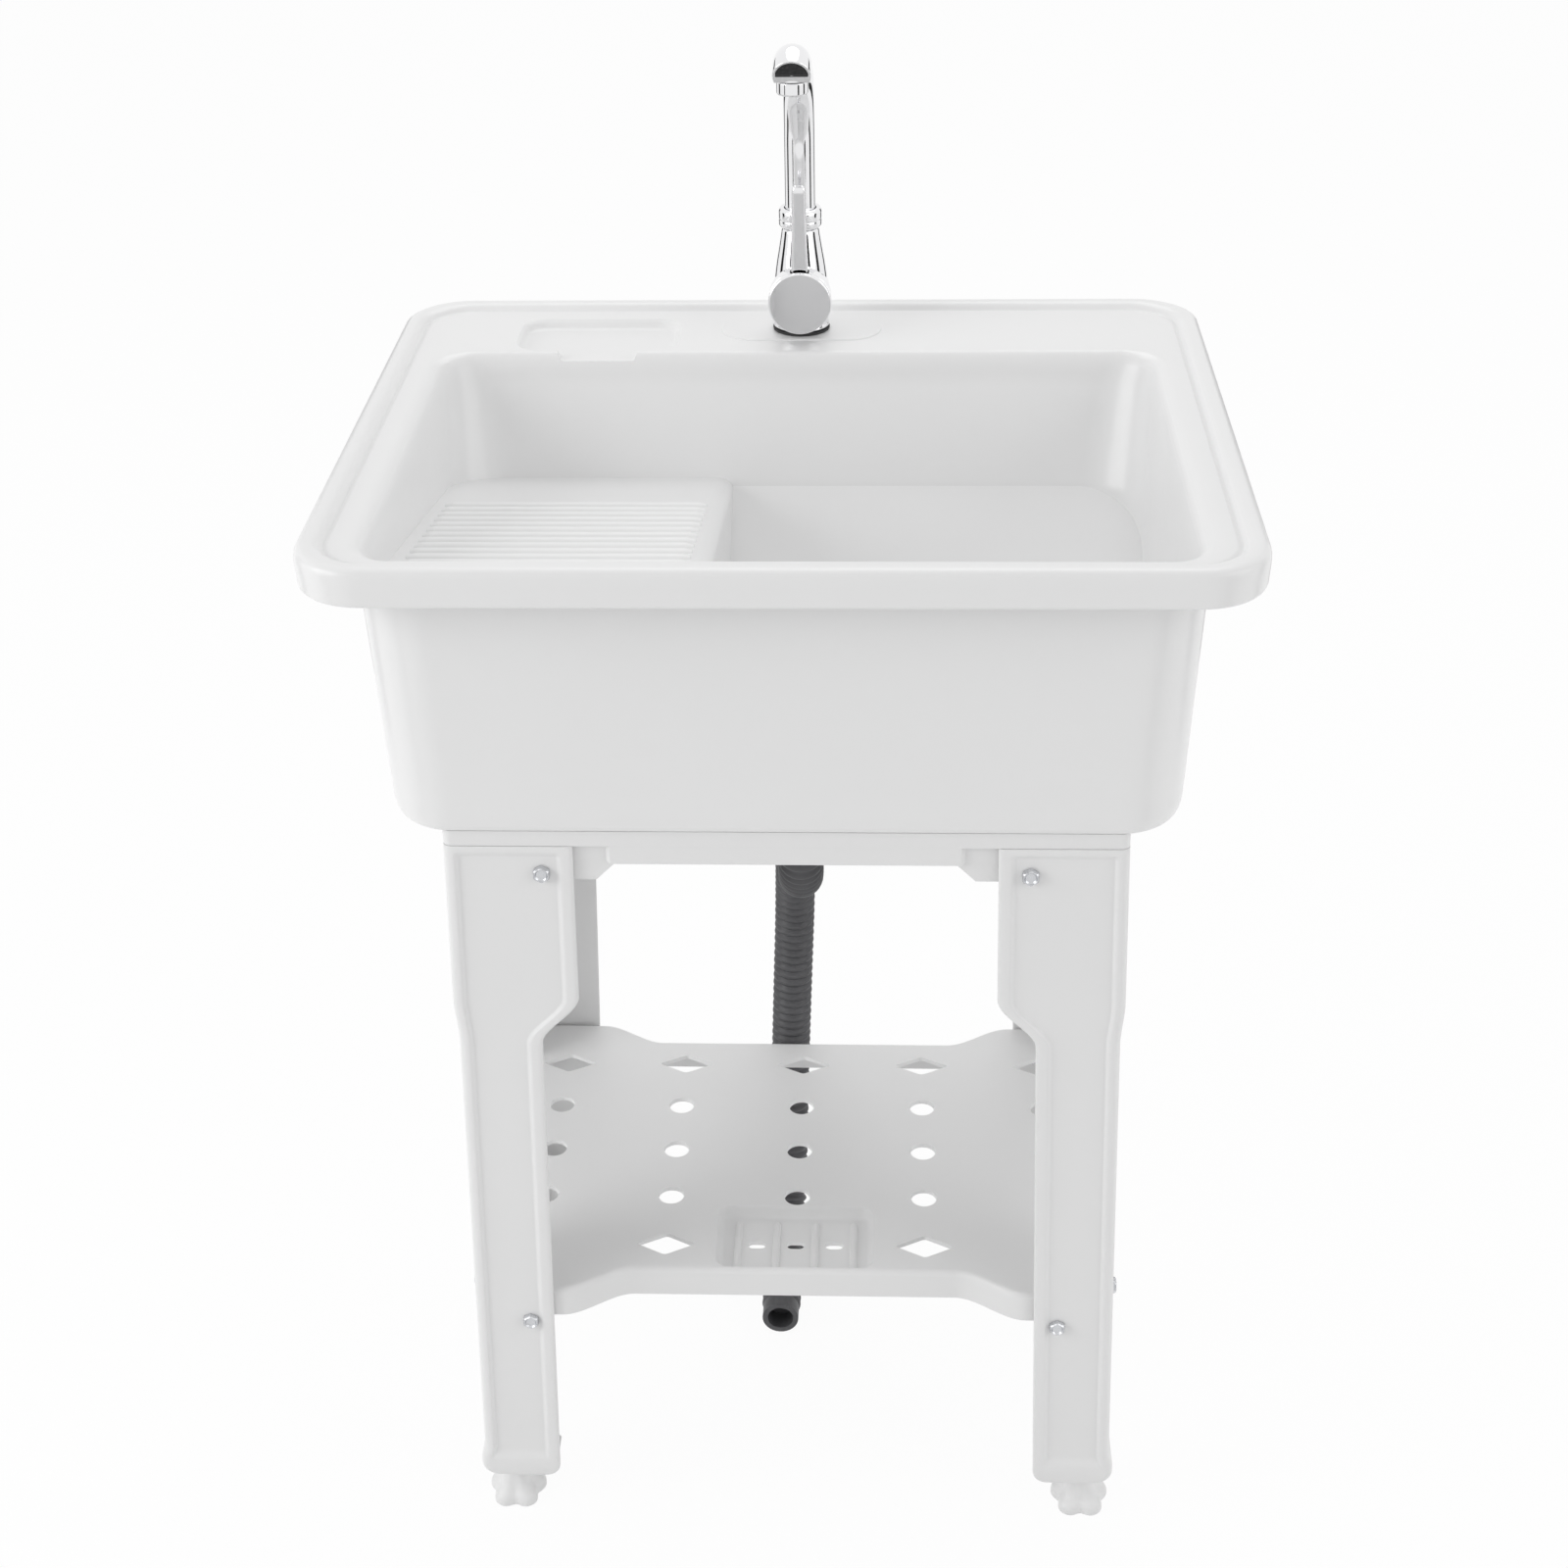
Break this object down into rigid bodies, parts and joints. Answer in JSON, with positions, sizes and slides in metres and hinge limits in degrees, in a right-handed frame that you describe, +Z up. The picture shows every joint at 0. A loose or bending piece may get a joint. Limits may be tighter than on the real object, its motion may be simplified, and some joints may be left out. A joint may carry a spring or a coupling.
{
  "type": "free-standing laundry sink",
  "caption": "Free-standing plastic utility sink with a sloping washboard, bolted legs on levelling feet, a pierced shelf, a swivel-spout lever tap and a ribbed drain hose.",
  "frame": {"origin": "on the floor below the middle of the rim's outline", "axes": "+Z up, the front with the shelf's soap tray faces -Y, +X to the right as seen from the front"},
  "size_m": [0.6, 0.5, 1.0733],
  "materials": {
    "basin_plastic": "smooth moulded white",
    "frame_plastic": "satin moulded white",
    "chrome": "polished",
    "zinc_steel": "zinc plated",
    "black_rubber": "matt",
    "brass": "plain",
    "hose_plastic": "dark grey ribbed"
  },
  "bodies": {
    "stand": {"basin": "basin_plastic", "bolt_lower_front_left": "zinc_steel", "bolt_lower_front_right": "zinc_steel", "bolt_lower_rear_left": "zinc_steel", "bolt_lower_rear_right": "zinc_steel", "bolt_side_front_left": "zinc_steel", "bolt_side_front_right": "zinc_steel", "bolt_side_rear_left": "zinc_steel", "bolt_side_rear_right": "zinc_steel", "bolt_upper_front_left": "zinc_steel", "bolt_upper_front_right": "zinc_steel", "bolt_upper_rear_left": "zinc_steel", "bolt_upper_rear_right": "zinc_steel", "drain_flange": "zinc_steel", "drain_gasket": "black_rubber", "drain_hose": "hose_plastic", "drain_nut": "frame_plastic", "drain_tail": "frame_plastic", "hose_clamp": "zinc_steel", "leg_front_left": "frame_plastic", "leg_front_right": "frame_plastic", "leg_rear_left": "frame_plastic", "leg_rear_right": "frame_plastic", "nut_lower_front_left": "zinc_steel", "nut_lower_front_right": "zinc_steel", "nut_lower_rear_left": "zinc_steel", "nut_lower_rear_right": "zinc_steel", "nut_side_front_left": "zinc_steel", "nut_side_front_right": "zinc_steel", "nut_side_rear_left": "zinc_steel", "nut_side_rear_right": "zinc_steel", "nut_upper_front_left": "zinc_steel", "nut_upper_front_right": "zinc_steel", "nut_upper_rear_left": "zinc_steel", "nut_upper_rear_right": "zinc_steel", "shelf": "frame_plastic", "spout_collar": "chrome", "tap_body": "chrome", "tap_cartridge": "brass", "tap_gasket": "black_rubber", "tap_nut": "brass", "tap_shank": "brass", "tap_washer": "black_rubber", "top_frame": "frame_plastic"},
    "spout": {"spout": "chrome", "aerator_ring": "chrome", "aerator_insert": "black_rubber"},
    "handle_hub": {"handle_hub": "chrome"},
    "handle_lever": {"handle_lever": "chrome"},
    "drain_basket": {"drain_basket": "zinc_steel"},
    "foot_front_right": {"foot_pad_front_right": "frame_plastic", "foot_screw_front_right": "zinc_steel"},
    "foot_front_left": {"foot_pad_front_left": "frame_plastic", "foot_screw_front_left": "zinc_steel"},
    "foot_rear_right": {"foot_pad_rear_right": "frame_plastic", "foot_screw_rear_right": "zinc_steel"},
    "foot_rear_left": {"foot_pad_rear_left": "frame_plastic", "foot_screw_rear_left": "zinc_steel"}
  },
  "joints": [
    {"name": "spout_swivel", "type": "hinge", "parent": "stand", "child": "spout", "pos_m": [0.002, 0.19, 0.91], "axis": [0, 0, 1], "range_deg": [-90, 90]},
    {"name": "handle_turn", "type": "hinge", "parent": "stand", "child": "handle_hub", "pos_m": [0.002, 0.161, 0.863], "axis": [0, -1, 0], "range_deg": [-45, 45]},
    {"name": "lever_pull", "type": "hinge", "parent": "handle_hub", "child": "handle_lever", "pos_m": [0.002, 0.1605, 0.882], "axis": [1, 0, 0], "range_deg": [0, 20]},
    {"name": "basket_lift", "type": "slide", "parent": "stand", "child": "drain_basket", "axis": [0, 0, 1], "range_m": [0, 0.06]},
    {"name": "foot_level_front_right", "type": "slide", "parent": "stand", "child": "foot_front_right", "axis": [0, 0, -1], "range_m": [0, 0.012]},
    {"name": "foot_level_front_left", "type": "slide", "parent": "stand", "child": "foot_front_left", "axis": [0, 0, -1], "range_m": [0, 0.012]},
    {"name": "foot_level_rear_right", "type": "slide", "parent": "stand", "child": "foot_rear_right", "axis": [0, 0, -1], "range_m": [0, 0.012]},
    {"name": "foot_level_rear_left", "type": "slide", "parent": "stand", "child": "foot_rear_left", "axis": [0, 0, -1], "range_m": [0, 0.012]}
  ]
}
